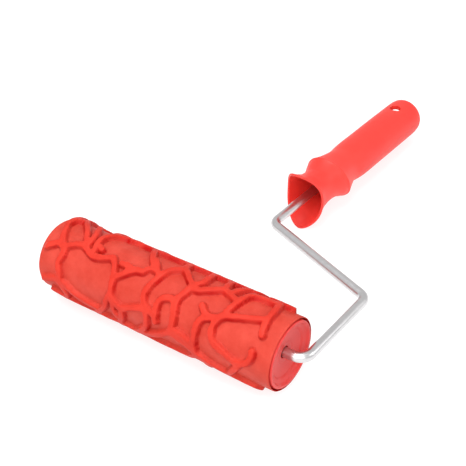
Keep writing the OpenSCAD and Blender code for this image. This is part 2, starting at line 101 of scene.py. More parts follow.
# The ridge network, repeated from the part: [distance along the axis, angle round the
# sleeve], with angle 0 at the top and growing towards the front.
RIDGES = [
    # left end, front
    [[-84, -46], [-84, -30], [-83, -16], [-82.5, -3], [-81.3, 4], [-79.8, 11], [-78.5, 18],
     [-77, 25], [-74.5, 32], [-72, 37]],
    [[-83, -16], [-80, -22], [-77, -27]],
    [[-78, -60], [-78, -44], [-77, -30], [-73.5, -20], [-70, -11], [-66.5, -3], [-64, 4.5],
     [-62, 11], [-59.5, 16], [-58, 21]],
    [[-64, -24], [-61, -12], [-58.5, 0], [-57.6, 10], [-57.4, 18], [-56.5, 26]],
    [[-72, 37], [-77.5, 35.3], [-81, 40], [-84, 44.5], [-86, 47]],
    [[-72, 37], [-70.4, 44], [-70.9, 52], [-71.8, 61], [-70.8, 70], [-69.6, 78], [-69.2, 87]],
    [[-72, 37], [-69.5, 33], [-66.5, 28.5], [-63.5, 25], [-60, 23.5], [-56, 26.5], [-52.5, 31],
     [-48, 32.5], [-43, 30], [-39, 26.5], [-36, 23]],
    [[-50.8, 30], [-51, 21], [-52, 13], [-52.6, 4], [-52, -8], [-49.5, -20], [-45, -29],
     [-38, -33], [-29, -34], [-19, -32]],
    [[-51.5, 17], [-48.6, 16.2], [-46.4, 18]],
    [[-50, -22], [-50, -36], [-47, -52]],
    [[-86, 99], [-83, 97], [-79, 93.5], [-75, 89.5], [-71, 87.5]],
    [[-71, 87.5], [-68, 95], [-66, 103], [-65.3, 111], [-68, 126]],
    [[-69, 87], [-65.5, 91], [-62, 95.5], [-58, 101], [-52, 106], [-46, 109], [-37, 112]],
    # left of the middle, front
    [[-36, 23], [-34, 26], [-32, 30.5], [-30.4, 36], [-29.3, 42], [-28.4, 48], [-27.9, 57],
     [-27.4, 66], [-27, 75]],
    [[-27.4, 72], [-29, 80], [-30.3, 89], [-32, 98], [-35, 107], [-38, 115], [-42, 124]],
    [[-27, 75], [-25.4, 80], [-24.6, 88], [-24, 96], [-22, 105]],
    [[-27, 75], [-23.5, 81], [-19.5, 86]],
    [[-28.4, 48], [-26.8, 45.5], [-24.4, 41], [-21.5, 34.3], [-19, 29.2], [-16, 25.6], [-12, 24.2],
     [-10.6, 20.5], [-9, 15.5], [-6, 13.7], [-3.4, 15], [-1.2, 18.5]],
    [[-19, 29.2], [-21, 26.4], [-24, 25], [-27.5, 25.5]],
    [[-20, -31], [-17.5, -19], [-15, -9.5], [-12.4, -1], [-9.4, 6.5], [-6, 13.7]],
    [[-10.5, -3], [-7, 4], [-4.5, 12]],
    [[0.8, 69.3], [-5, 73.5], [-9.5, 77.5], [-13.5, 82], [-17, 87], [-17.8, 95], [-18.5, 103],
     [-20, 112], [-22, 121]],
    # middle, front
    [[9.4, -10], [5.6, -3], [3, 4], [1.6, 11], [0.2, 20], [-1.2, 30], [-2.6, 40], [-3.3, 49],
     [-2.7, 57], [-1.4, 64], [0.8, 69.3]],
    [[9.4, -10], [8.6, -19], [8, -33]],
    [[9.4, -10], [13, -5.2], [15.2, -1.3], [17.5, 3.6], [20, 7.8], [23, 12]],
    [[0.8, 69.3], [4, 71.2], [7.6, 72.6]],
    [[0.8, 69.3], [1.5, 80], [1.6, 90], [1, 98], [-1, 105], [-5, 114], [-11, 127]],
    [[19, 44], [15, 42], [12, 43.8], [9.6, 47.3], [8.1, 52.5], [7.4, 60], [7.5, 68], [7.9, 76],
     [8.6, 82.5]],
    [[-8, 124], [-1, 117], [5, 110], [11, 102.5], [16, 95], [20, 88.5], [26, 92], [32, 97], [37, 104]],
    [[-8, 124], [1, 127], [10, 130], [20, 129], [30, 125], [39, 109]],
    [[23, 12], [22.4, 22], [20.9, 30], [19.5, 38], [19.1, 45], [19.8, 52], [20.6, 60], [21, 68],
     [21, 76], [20.4, 83], [20, 88.5]],
    [[23, 12], [26.3, 4], [27, -6], [26.7, -16], [26, -25], [25, -34]],
    [[20.4, 84], [25, 83.8], [30, 86.5], [34, 91], [37.2, 96]],
    # right end, front
    [[23, 12], [25.5, 16.8], [29.3, 14.6], [32.3, 10.6], [35.3, 6.1], [38.3, 1.1], [41, -3],
     [44, -1.5], [47.5, 1.8], [50.5, 4.6], [54, 9]],
    [[41, -3], [40.3, -14], [39.4, -24], [38.4, -34]],
    [[46.6, 0], [48, -11], [49.6, -21], [52, -33]],
    [[51.8, 34.6], [52.4, 25], [53.2, 18], [54.2, 10], [55, 2], [55.5, -5], [56.4, -12],
     [58.5, -18.5], [62.5, -22], [67, -23], [71, -22.5], [75, -21]],
    [[51.8, 34.6], [48.5, 40.3], [44.5, 43.4], [41, 47], [38.7, 53], [37.8, 62], [37.4, 75],
     [37.2, 86], [37.2, 96], [39, 107], [45, 114], [53, 120], [61, 124]],
    [[51.8, 34.6], [55.5, 32], [59.5, 29], [64.5, 25], [69.5, 21], [76, 15.5]],
    [[42.6, 44.8], [40.6, 42.4], [38.4, 38.6], [35.8, 33.5]],
    [[49.9, 40], [48.4, 49], [48.3, 59], [49.2, 68], [51.6, 74], [55, 77.7], [59, 81], [63, 84.8],
     [67, 87.2], [71, 86.3]],
    [[71, 86.3], [74.1, 82], [76.1, 77], [77.3, 70], [77.2, 62.5]],
    [[72.5, -34], [75, -20], [76.3, -10], [76.8, 0], [76.9, 10], [77.2, 20], [78, 29], [79, 37]],
    [[70.5, 88], [68, 97], [65.8, 104], [64, 111], [61, 124], [70, 130], [76, 136]],
    # over the top edge, behind the cells of the front
    [[-20, -31], [-8, -34], [8, -35], [25, -36], [38.4, -35], [52, -35]],
    [[66, -38], [74, -37], [81, -35]],
    # under the lower edge
    [[-78, 118], [-68, 126], [-60, 131], [-51, 131], [-42, 124], [-33, 129], [-22, 121],
     [-14, 127], [-11, 127]],
    # back, first row
    [[-86, 149], [-82, 146], [-74, 140], [-68, 126], [-62, 138], [-54, 146], [-45, 146], [-42, 124]],
    [[-45, 146], [-38, 152], [-30, 150], [-24, 140], [-22, 121]],
    [[-24, 140], [-16, 146], [-10, 142], [-11, 127]],
    [[-10, 142], [-2, 150], [8, 152], [14, 144], [14, 128]],
    [[14, 144], [24, 150], [34, 150], [42, 142], [45, 130], [45, 114]],
    [[42, 142], [50, 150], [58, 152], [66, 146], [70, 130]],
    [[66, 146], [74, 154], [78, 147], [76, 136]],
    # back, second row
    [[-82, 146], [-84, 160], [-80, 174], [-82, 186]],
    [[-54, 146], [-56, 160], [-58, 176], [-52, 190]],
    [[-30, 150], [-32, 164], [-28, 178], [-30, 190]],
    [[-2, 150], [-4, 164], [0, 178], [-6, 192]],
    [[24, 150], [26, 166], [22, 180], [24, 192]],
    [[50, 150], [54, 166], [50, 182], [52, 194]],
    [[74, 154], [78, 168], [76, 184], [78, 198]],
    [[-86, 189], [-82, 186], [-72, 194], [-62, 198], [-52, 190], [-42, 184], [-30, 190],
     [-20, 198], [-6, 192]],
    [[-6, 192], [6, 186], [16, 196], [24, 192], [36, 186], [46, 198], [52, 194], [64, 188],
     [72, 200], [78, 198]],
    # back, third row
    [[-72, 194], [-74, 208], [-70, 222], [-74, 236]],
    [[-42, 184], [-44, 200], [-40, 216], [-46, 232]],
    [[-20, 198], [-16, 212], [-20, 226], [-16, 240]],
    [[6, 186], [10, 202], [6, 218], [10, 234]],
    [[36, 186], [32, 204], [36, 220], [34, 236]],
    [[64, 188], [60, 206], [64, 222], [60, 238]],
    [[-86, 242], [-82, 244], [-74, 236], [-64, 230], [-54, 240], [-46, 232], [-34, 228],
     [-26, 240], [-16, 240]],
    [[-16, 240], [-4, 246], [10, 234], [22, 230], [34, 236], [46, 244], [60, 238], [72, 234],
     [80, 242]],
    # back, fourth row
    [[-82, 244], [-84, 258], [-80, 272], [-84, 286]],
    [[-54, 240], [-58, 256], [-54, 270], [-58, 286]],
    [[-26, 240], [-30, 254], [-26, 270], [-30, 284]],
    [[-4, 246], [0, 260], [-4, 274], [0, 288]],
    [[22, 230], [26, 248], [22, 264], [26, 282]],
    [[46, 244], [42, 260], [48, 274], [46, 288]],
    [[72, 234], [76, 250], [70, 266], [74, 282]],
    [[-84, 286], [-72, 294], [-58, 286], [-46, 280], [-38, 290], [-30, 284], [-16, 282], [-10, 292]],
    [[-10, 292], [0, 288], [14, 280], [26, 282], [36, 292], [46, 288], [58, 284], [66, 290],
     [74, 282], [80, 284]],
    # back, joined to the front over the top
    [[-72, 294], [-78, 300]],
    [[-46, 280], [-46, 296], [-47, 308]],
    [[-38, 290], [-36, 304], [-39, 330]],
    [[-10, 292], [-14, 306], [-19, 330]],
    [[0, 288], [4, 304], [6, 332]],
    [[26, 282], [28, 300], [25, 327]],
    [[36, 292], [34, 306], [37, 329]],
    [[58, 284], [60, 300], [55, 327]],
    [[66, 290], [70, 306], [72, 327], [76, 322]],
]

# Stations of the handle's skin, repeated from the part: [distance from the roller axis,
# half width, height above the axis, depth below it, how far the top and the bottom of a
# saddle-shaped rim reach forward, tilt of the whole ring].
SKIN = [
    [151, 15.2, 24.4, 23.0, 12, 7, 0],
    [155, 14.2, 20.4, 19.6, 8, 4.5, 0],
    [160, 13.3, 16.5, 15.8, 4, 2, 0],
    [167, 13.2, 15.3, 12.7, 0, 0, 2.5],
    [174, 14.2, 15.4, 13.3, 0, 0, 6],
    [180, 16.5, 17.2, 15.7, 0, 0, 6.8],
    [183, 17.4, 18.6, 16.8, 0, 0, 6.8],
    [184.6, 18.2, 19.6, 17.5, 0, 0, 6.8],
    [186.2, 17.7, 19.0, 16.9, 0, 0, 6.6],
    [192, 15.9, 17.6, 14.2, 0, 0, 5.5],
    [198, 14.3, 16.4, 12.6, 0, 0, 3],
    [203, 13.8, 15.7, 12.5, 0, 0, 0.5],
    [208, 14.3, 15.8, 13.2, 0, 0, 0],
    [214, 14.8, 15.9, 14.1, 0, 0, 0],
    [222, 15.1, 15.8, 14.7, 0, 0, 0],
    [235, 15.1, 15.6, 14.8, 0, 0, 0],
    [260, 15.2, 15.6, 15.0, 0, 0, 0],
    [285, 15.2, 15.3, 15.3, 0, 0, 0],
    [300, 15.1, 15.1, 15.3, 0, 0, 0],
    [304.4, 14.6, 14.6, 14.6, 0, 0, 0],
    [305.4, 13.7, 13.7, 13.7, 0, 0, 0],
]
TAIL_Y = SKIN[-1][0]

# Stations of the cup's inside behind its lip, down to its floor
CUP_NECK = [
    [168, 12.8, 14.0, 12.4, 0, 0, 1.5],
    [174, 12.2, 12.8, 12.0, 0, 0, 1],
    [CUP_FLOOR_Y - 1.5, 10.8, 10.8, 10.8, 0, 0, 0],
    [CUP_FLOOR_Y, 9.6, 9.6, 9.6, 0, 0, 0],
]


# ------------------------------------------------------------------------ small helpers
def spline(points, steps):
    """A smooth curve through the points (Catmull-Rom), with `steps` pieces per gap."""
    p = np.array(points, float)
    p = np.vstack([2 * p[0] - p[1], p, 2 * p[-1] - p[-2]])
    curve = []
    for a, b, c, d in zip(p[:-3], p[1:-2], p[2:-1], p[3:]):
        for t in np.arange(steps) / steps:
            curve.append(0.5 * (2 * b + (c - a) * t + (2 * a - 5 * b + 4 * c - d) * t ** 2
                                + (3 * b - a - 3 * c + d) * t ** 3))
    curve.append(p[-2])
    return np.array(curve)


def make_object(name, verts_mm, faces):
    """A smooth-shaded mesh object, given in the tool's millimetres."""
    mesh = bpy.data.meshes.new(name)
    mesh.from_pydata([tuple(v) for v in verts_mm], [], faces)
    mesh.transform(TO_ROW)
    mesh.validate()
    obj = bpy.data.objects.new(name, mesh)
    bpy.context.scene.collection.objects.link(obj)
    return obj


def shade(obj, sharp_degrees=40):
    """Smooth shading that breaks at edges sharper than the angle."""
    obj.data.shade_smooth()
    obj.data.set_sharp_from_angle(angle=math.radians(sharp_degrees))


def ring_faces(rings, sides, closed=False):
    """Quads between rings of `sides` points each, joined end to end if closed."""
    quads = []
    for j in range(rings if closed else rings - 1):
        here, there = j * sides, (j + 1) % rings * sides
        for k in range(sides):
            nxt = (k + 1) % sides
            quads.append((here + k, here + nxt, there + nxt, there + k))
    return quads


def lathe(name, outline, sides=128, axis="x", centre=(0, 0, 0), looped=True):
    """A body turned from an outline of [place along the axis, radius] points. A looped
    outline makes a ring, and any other one gets a flat face at each end."""
    turn = np.linspace(0, 2 * math.pi, sides, endpoint=False)
    verts = []
    for along, radius in outline:
        for a in turn:
            ring = (along, -radius * math.sin(a), radius * math.cos(a))
            if axis == "y":
                ring = (radius * math.sin(a), along, radius * math.cos(a))
            if axis == "z":
                ring = (radius * math.cos(a), radius * math.sin(a), along)
            verts.append(tuple(r + c for r, c in zip(ring, centre)))
    faces = ring_faces(len(outline), sides, looped)
    if not looped:
        last = (len(outline) - 1) * sides
        faces.append(tuple(range(sides - 1, -1, -1)))
        faces.append(tuple(last + k for k in range(sides)))
    obj = make_object(name, verts, faces)
    outward_normals(obj)
    return obj


def outward_normals(obj):
    """Turns every face of a closed mesh outwards."""
    bm = bmesh.new()
    bm.from_mesh(obj.data)
    bmesh.ops.recalc_face_normals(bm, faces=bm.faces)
    bm.to_mesh(obj.data)
    bm.free()


def fillet(corner, before, after, radius, steps=5):
    """Points of a round corner in an outline, from the side of `before` to `after`."""
    c, b, a = (np.array(p, float) for p in (corner, before, after))
    u, v = (b - c) / np.linalg.norm(b - c), (a - c) / np.linalg.norm(a - c)
    half = math.acos(max(-1, min(1, float(u @ v)))) / 2
    cut = radius / math.tan(half)
    start, end = c + u * cut, c + v * cut
    middle = c + (u + v) / np.linalg.norm(u + v) * radius / math.sin(half)
    points = []
    for t in np.linspace(0, 1, steps + 1):
        arm = (start - middle) * (1 - t) + (end - middle) * t
        points.append(list(middle + arm / np.linalg.norm(arm) * radius))
    return points


def rounded(outline):
    """Turns [along, radius, corner radius] points into a closed outline with fillets."""
    out = []
    n = len(outline)
    for i, point in enumerate(outline):
        if point[2] > 0:
            out += fillet(point[:2], outline[i - 1][:2], outline[(i + 1) % n][:2], point[2])
        else:
            out.append(list(point[:2]))
    return out


def cut(target, cutters):
    """Takes the cutters away from the target and removes them."""
    bpy.context.view_layer.objects.active = target
    for cutter in cutters:
        step = target.modifiers.new("cut", "BOOLEAN")
        step.operation = "DIFFERENCE"
        step.solver = "EXACT"
        step.object = cutter
        with bpy.context.temp_override(object=target, active_object=target):
            bpy.ops.object.modifier_apply(modifier=step.name)
        bpy.data.objects.remove(cutter)


# --------------------------------------------------------------------------- materials
def new_material(name):
    """A material with its nodes, its links and its shader."""
    material = bpy.data.materials.new(name)
    material.use_nodes = True
    nodes, links = material.node_tree.nodes, material.node_tree.links
    return material, nodes, links, nodes["Principled BSDF"]


def add_noise(nodes, links, scale, detail, coords, roughness=0.5):
    """The grey value of a noise texture."""
    tex = nodes.new("ShaderNodeTexNoise")
    tex.inputs["Scale"].default_value = scale
    tex.inputs["Detail"].default_value = detail
    tex.inputs["Roughness"].default_value = roughness
    links.new(coords, tex.inputs["Vector"])
    return tex.outputs["Fac"]


def ramp(nodes, links, factor, stops):
    """Colours a grey value by stops of (place, colour)."""
    node = nodes.new("ShaderNodeValToRGB")
    while len(node.color_ramp.elements) < len(stops):
        node.color_ramp.elements.new(0.5)
    for element, (place, colour) in zip(node.color_ramp.elements, stops):
        element.position = place
        element.color = (*colour, 1)
    links.new(factor, node.inputs["Fac"])
    return node.outputs["Color"]


def to_range(nodes, links, factor, low, high):
    """Maps a grey value from 0 to 1 onto low to high."""
    node = nodes.new("ShaderNodeMapRange")
    node.inputs["To Min"].default_value = low
    node.inputs["To Max"].default_value = high
    links.new(factor, node.inputs["Value"])
    return node.outputs["Result"]


def add_bump(nodes, links, shader, heights, distance_mm):
    """Chains bump nodes, one for each (height, strength)."""
    normal = None
    for height, strength in heights:
        bump = nodes.new("ShaderNodeBump")
        bump.inputs["Strength"].default_value = strength
        bump.inputs["Distance"].default_value = distance_mm * MM
        links.new(height, bump.inputs["Height"])
        if normal:
            links.new(normal, bump.inputs["Normal"])
        normal = bump.outputs["Normal"]
    links.new(normal, shader.inputs["Normal"])


def mix_by_attribute(nodes, links, attribute, colour_a, blend="MIX"):
    """A mix that starts from colour A and is driven by a point attribute."""
    driver = nodes.new("ShaderNodeAttribute")
    driver.attribute_name = attribute
    mix = nodes.new("ShaderNodeMix")
    mix.data_type = "RGBA"
    mix.blend_type = blend
    links.new(driver.outputs["Fac"], mix.inputs["Factor"])
    links.new(colour_a, mix.inputs["A"])
    return mix


def object_coords(nodes):
    return nodes.new("ShaderNodeTexCoord").outputs["Object"]


def sleeve_rubber():
    """Cast red rubber: slightly mottled, with a fine skin, and painted shade that darkens the ridge flanks and the
    bore.
    """
    material, nodes, links, shader = new_material("sleeve_rubber")
    coords = object_coords(nodes)
    cloud = add_noise(nodes, links, 60, 5, coords, 0.65)
    grain = add_noise(nodes, links, 900, 3, coords, 0.6)
    pores = add_noise(nodes, links, 2600, 2, coords)
    cells = ramp(nodes, links, cloud, [(0.3, (0.44, 0.033, 0.019)), (0.7, (0.55, 0.060, 0.040))])
    tops = ramp(nodes, links, cloud, [(0.3, (0.48, 0.024, 0.013)), (0.7, (0.58, 0.038, 0.022))])
    base = mix_by_attribute(nodes, links, "raised", cells)
    links.new(tops, base.inputs["B"])
    # Painted shade: the point attribute multiplies the colour towards dark red on the ridge flanks and inside the
    # bore.
    mix = mix_by_attribute(nodes, links, "painted_shade", base.outputs["Result"], "MULTIPLY")
    mix.inputs["B"].default_value = (0.72, 0.01, 0.01, 1)
    links.new(mix.outputs["Result"], shader.inputs["Base Color"])
    links.new(to_range(nodes, links, grain, 0.42, 0.6), shader.inputs["Roughness"])
    shader.inputs["Specular IOR Level"].default_value = 0.12
    shader.inputs["Subsurface Weight"].default_value = 0.05
    shader.inputs["Subsurface Radius"].default_value = (0.0022, 0.0005, 0.0004)
    shader.inputs["Subsurface Scale"].default_value = 1.0
    add_bump(nodes, links, shader, [(grain, 0.22), (pores, 0.1)], 0.25)
    return material


def red_plastic(name, dark, light, rough, waviness, gloss):
    """Glossy moulded plastic with faint flow marks and small scuffs."""
    material, nodes, links, shader = new_material(name)
    coords = object_coords(nodes)
    flow = add_noise(nodes, links, 26, 3, coords)
    skin = add_noise(nodes, links, 420, 4, coords, 0.6)
    scuff = add_noise(nodes, links, 130, 6, coords, 0.7)
    colour = ramp(nodes, links, flow, [(0.3, dark), (0.7, light)])
    links.new(colour, shader.inputs["Base Color"])
    links.new(to_range(nodes, links, scuff, rough - 0.08, rough + 0.1), shader.inputs["Roughness"])
    shader.inputs["Specular IOR Level"].default_value = gloss
    shader.inputs["Subsurface Weight"].default_value = 0.1
    shader.inputs["Subsurface Radius"].default_value = (0.002, 0.0005, 0.0004)
    shader.inputs["Subsurface Scale"].default_value = 1.0
    add_bump(nodes, links, shader, [(flow, waviness), (skin, 0.05)], 0.4)
    return material


def chrome():
    """Bright plated rod with faint draw lines and soft waves in its reflections."""
    material, nodes, links, shader = new_material("rod_chrome")
    coords = object_coords(nodes)
    waves = add_noise(nodes, links, 90, 2, coords)
    haze = add_noise(nodes, links, 300, 4, coords, 0.6)
    colour = ramp(nodes, links, haze, [(0.2, (0.62, 0.61, 0.615)), (0.8, (0.70, 0.69, 0.695))])
    links.new(colour, shader.inputs["Base Color"])
    shader.inputs["Metallic"].default_value = 1.0
    links.new(to_range(nodes, links, haze, 0.26, 0.36), shader.inputs["Roughness"])
    add_bump(nodes, links, shader, [(waves, 0.04)], 0.3)
    return material


def plain_plastic(name, dark, light, rough):
    """Matt plastic with a fine moulded grain."""
    material, nodes, links, shader = new_material(name)
    coords = object_coords(nodes)
    grain = add_noise(nodes, links, 700, 3, coords)
    cloud = add_noise(nodes, links, 60, 2, coords)
    links.new(ramp(nodes, links, cloud, [(0.3, dark), (0.7, light)]), shader.inputs["Base Color"])
    links.new(to_range(nodes, links, grain, rough - 0.06, rough + 0.08), shader.inputs["Roughness"])
    add_bump(nodes, links, shader, [(grain, 0.15)], 0.2)
    return material


def zinc_steel():
    """Zinc-plated pressed steel, a little dull and blotchy."""
    material, nodes, links, shader = new_material("zinc_steel")
    coords = object_coords(nodes)
    blotch = add_noise(nodes, links, 350, 4, coords, 0.6)
    brush = add_noise(nodes, links, 2200, 2, coords)
    colour = ramp(nodes, links, blotch, [(0.25, (0.42, 0.42, 0.43)), (0.75, (0.6, 0.6, 0.6))])
    links.new(colour, shader.inputs["Base Color"])
    shader.inputs["Metallic"].default_value = 1.0
    links.new(to_range(nodes, links, blotch, 0.28, 0.45), shader.inputs["Roughness"])
    add_bump(nodes, links, shader, [(brush, 0.15)], 0.1)
    return material


def floor_paper():
    """White studio paper."""
    material, nodes, links, shader = new_material("floor_paper")
    coords = object_coords(nodes)
    fibre = add_noise(nodes, links, 40, 4, coords)
    links.new(ramp(nodes, links, fibre, [(0.3, (0.30, 0.30, 0.30)), (0.7, (0.33, 0.33, 0.33))]),
              shader.inputs["Base Color"])
    shader.inputs["Roughness"].default_value = 0.9
    shader.inputs["Specular IOR Level"].default_value = 0.1
    shader.inputs["Emission Color"].default_value = (1, 1, 1, 1)
    shader.inputs["Emission Strength"].default_value = 0.75
    return material


# ------------------------------------------------------------------------------ sleeve
RING_COUNT = 286
RING_SIDES = 326
TOP_HALF_W = 1.8        # half width of a ridge at its top
FOOT_HALF_W = 2.7       # half width of a ridge at its foot
JOIN_BLEND = 0.4        # how softly two ridges run together
CROWN_H = 0.16          # how much a ridge's top bulges
END_FADE = 5.0          # length over which the ridges fade at the sleeve's ends
MOUTH_R = FLANGE_R + 0.12
CURVE_STEPS = 5
MM_PER_DEG = math.pi * (SLEEVE_R + RIDGE_H / 2) / 180


def line_distance(x, angle, line):
    """Distance of every grid point from one ridge line, over the unrolled surface."""
    curve = spline(line, CURVE_STEPS)
    nearest = np.full(x.shape, 99.0)
    for a, b in zip(curve[:-1], curve[1:]):
        u = x - a[0]
        v = ((angle - a[1] + 180) % 360 - 180) * MM_PER_DEG
        eu, ev = b[0] - a[0], (b[1] - a[1]) * MM_PER_DEG
        t = np.clip((u * eu + v * ev) / (eu * eu + ev * ev), 0, 1)
        nearest = np.minimum(nearest, np.hypot(u - t * eu, v - t * ev))
    return nearest


def surface_noise(x, angle, size_mm, seed):
    """Smooth noise over the unrolled surface that closes up round the sleeve."""
    a = np.radians(angle)
    radius = SLEEVE_R / size_mm
    values = [noise((px / size_mm + seed, radius * math.sin(pa), radius * math.cos(pa)))
              for px, pa in zip(x.ravel(), a.ravel())]
    return np.array(values).reshape(x.shape)


def smooth_step(t):
    t = np.clip(t, 0, 1)
    return t * t * (3 - 2 * t)


def ridge_gap(x, angle):
    """Distance of every grid point from the nearest ridge's middle line, wobbled a
    little and blended where ridges meet."""
    total = np.zeros(x.shape)
    for line in RIDGES:
        total += np.exp(-line_distance(x, angle, line) / JOIN_BLEND)
    gap = -JOIN_BLEND * np.log(np.maximum(total, 1e-30))
    return gap + 0.45 * surface_noise(x, angle, 9, 3) + 0.3 * surface_noise(x, angle, 3.2, 17)


def sleeve_radius(x, angle, gap, raised, edge):
    """Radius of the sleeve's skin, uneven like a casting and rounded off at its ends."""
    crown = CROWN_H * np.clip(1 - np.maximum(gap, 0) / TOP_HALF_W, 0, 1)
    radius = SLEEVE_R + (RIDGE_H - CROWN_H) * raised + crown * raised
    radius += 0.16 * surface_noise(x, angle, 14, 11) + 0.07 * surface_noise(x, angle, 3.5, 29)
    round_off = np.sqrt(np.clip(1 - (1 - np.clip(edge / 0.9, 0, 1)) ** 2, 0, 1))
    radius -= 0.5 * (1 - round_off)
    return np.minimum(radius, SLEEVE_R + RIDGE_H + 0.05)


def ridge_painted_shade(x, angle, gap, along, around, edge):
    """Painted shade on the flanks of the ridges: strongest on the side towards the front and
    the right end, and in blotches."""
    slope_x, slope_a = np.gradient(gap, along, around * MM_PER_DEG)
    slope = np.hypot(slope_x, slope_a) + 0.05
    # Painted shade follows the slope's direction and stands in for light from above, behind and to the left; the
    # foot term is painted occlusion on both sides.
    shaded_side = smooth_step(0.5 + 0.8 * (0.45 * slope_x + 0.89 * slope_a) / slope)
    wide = np.clip(1.2 - np.abs(gap - FOOT_HALF_W + 0.35) / 0.85, 0, 1)
    foot = np.clip(1 - np.abs(gap - FOOT_HALF_W) / 0.8, 0, 1)
    blotch = 0.75 + 0.6 * surface_noise(x, angle, 7, 41)
    flank_painted_shade = np.clip(np.maximum(wide * shaded_side, 0.3 * foot) * blotch, 0, 1)
    return flank_painted_shade * smooth_step((edge - 1) / END_FADE)


def sleeve_bore(around):
    """Points of the sleeve's inside, with a groove round each mouth."""
    steps = [(SLEEVE_END - 0.3, MOUTH_R + 0.6), (SLEEVE_END - 1.6, MOUTH_R + 0.5),
             (SLEEVE_END - 2.2, MOUTH_R), (FLANGE_X, MOUTH_R), (FLANGE_X, CORE_R)]
    steps += [(-end, r) for end, r in steps[::-1]]
    points = [(end, -r * math.sin(turn), r * math.cos(turn))
              for end, r in steps for turn in np.radians(around)]
    return points, len(steps)


def pattern_sleeve():
    along = np.linspace(-SLEEVE_END, SLEEVE_END, RING_COUNT)
    around = np.linspace(0, 360, RING_SIDES, endpoint=False)
    x, angle = np.meshgrid(along, around, indexing="ij")
    edge = np.minimum(along - along[0], along[-1] - along)[:, None]
    gap = ridge_gap(x, angle)
    climb = np.clip((FOOT_HALF_W - gap) / (FOOT_HALF_W - TOP_HALF_W), 0, 1)
    raised = 0.5 * climb + 0.5 * smooth_step(climb)
    raised *= smooth_step((edge - 0.5) / END_FADE)
    radius = sleeve_radius(x, angle, gap, raised, edge)
    a = np.radians(angle)
    skin = np.stack([x, -radius * np.sin(a), radius * np.cos(a)], -1).reshape(-1, 3)
    bore, bore_rings = sleeve_bore(around)
    faces = ring_faces(RING_COUNT + bore_rings, RING_SIDES, closed=True)
    obj = make_object("sleeve_skin", np.vstack([skin, bore]), faces)
    outward_normals(obj)
    shade(obj, 60)
    flank_painted_shade = ridge_painted_shade(x, angle, gap, along, around, edge)
    # Painted shade for the ridge flanks, and full painted shade over the bore and the groove at each mouth; raised
    # marks the ridge tops.
    for label, values, inside in (("painted_shade", flank_painted_shade, 1.0), ("raised", raised, 0.0)):
        attribute = obj.data.attributes.new(label, "FLOAT", "POINT")
        padded = np.append(values.ravel(), np.full(len(bore), inside))
        attribute.data.foreach_set("value", padded.astype(np.float32))
    return obj


# ---------------------------------------------------------------------------- end caps
def end_cap(name, side):
    """A moulded cap, turned from its half outline of [place along the axis, radius,
    corner radius]."""
    spigot_r = CORE_R - CORE_WALL
    rim_r = FLANGE_R - 0.5
    hub_r = 7.5
    inside = [
        (DISH_X - 16, HUB_BORE_R, 0), (DISH_X - 16, hub_r, 0.3), (DISH_X - 2, hub_r, 0.5),
        (FLANGE_X - 2, spigot_r - 2, 0.5), (FLANGE_X - 12, spigot_r - 2, 0.3),
        (FLANGE_X - 12, spigot_r, 0.3), (FLANGE_X, spigot_r, 0), (FLANGE_X, FLANGE_R, 0),
    ]
    rim = [
        (SLEEVE_END - 1.6, FLANGE_R, 0), (SLEEVE_END - 0.9, rim_r, 0),
        (HALF_LEN, rim_r, 0.7), (HALF_LEN, rim_r - 1.7, 0.6),
    ]
    dish = [
        (HALF_LEN - 1.6, rim_r - 2.9, 0.8), (HALF_LEN - 2.4, STEP_R - 0.2, 0.5),
        (HALF_LEN - 3.4, STEP_R - 1.2, 0.9), (DISH_X + 0.3, 8.0, 1.5), (DISH_X, 7.0, 0.8),
    ]
    eye = [(DISH_X, EYE_R, 0.4), (DISH_X - 1.5, EYE_R, 0), (DISH_X - 1.5, HUB_BORE_R, 0)]
    outline = rounded(inside + rim + dish + eye)
    obj = lathe(name, [(side * a, r) for a, r in outline])
    shade(obj, 50)
    return obj


# --------------------------------------------------------------------------------- rod
def rod_path():
    """The rod's centre line: axle, bend, side leg, bend, cross leg, bend, tang."""
    corners = [(-DISH_X + 1, 0), (LEG_X, 0), (LEG_X, LEG_Y), (HANDLE_X, NECK_Y), (HANDLE_X, ROD_END_Y)]
    path = [np.array(corners[0], float)]
    for before, corner, after in zip(corners[:-2], corners[1:-1], corners[2:]):
        path += [np.array(p) for p in fillet(corner, before, after, BEND_R, 14)]
    path.append(np.array(corners[-1], float))
    return path


def resampled(path, step):
    """Adds points to the long straights, so that the rod's faces stay short."""
    out = [path[0]]
    for a, b in zip(path[:-1], path[1:]):
        pieces = max(1, int(np.linalg.norm(b - a) / step))
        out += [a + (b - a) * (i + 1) / pieces for i in range(pieces)]
    return out


def bent_rod():
    """The rod, swept along its centre line, with a broken edge at its far end."""
    sides = 48
    chamfer = 0.6
    path = resampled(rod_path(), 4.0)
    radii = [ROD_R] * len(path)
    first = (path[1] - path[0]) / np.linalg.norm(path[1] - path[0])
    path = [path[0], path[0] + first * chamfer] + path[1:]
    radii = [ROD_R - chamfer, ROD_R] + radii[1:]
    verts = []
    for i, p in enumerate(path):
        ahead, behind = path[min(i + 1, len(path) - 1)], path[max(i - 1, 0)]
        d = (ahead - behind) / np.linalg.norm(ahead - behind)
        across = np.array([-d[1], d[0]])
        for a in np.linspace(0, 2 * math.pi, sides, endpoint=False):
            flat = p + across * radii[i] * math.cos(a)
            verts.append((flat[0], flat[1], radii[i] * math.sin(a)))
    faces = ring_faces(len(path), sides)
    faces.append(tuple(range(sides)))
    last = (len(path) - 1) * sides
    faces.append(tuple(last + k for k in range(sides)))
    obj = make_object("rod_bar", verts, faces)
    outward_normals(obj)
    shade(obj, 40)
    return obj


# ------------------------------------------------------------------------------ handle
HANDLE_SIDES = 96
HANDLE_STEPS = 5


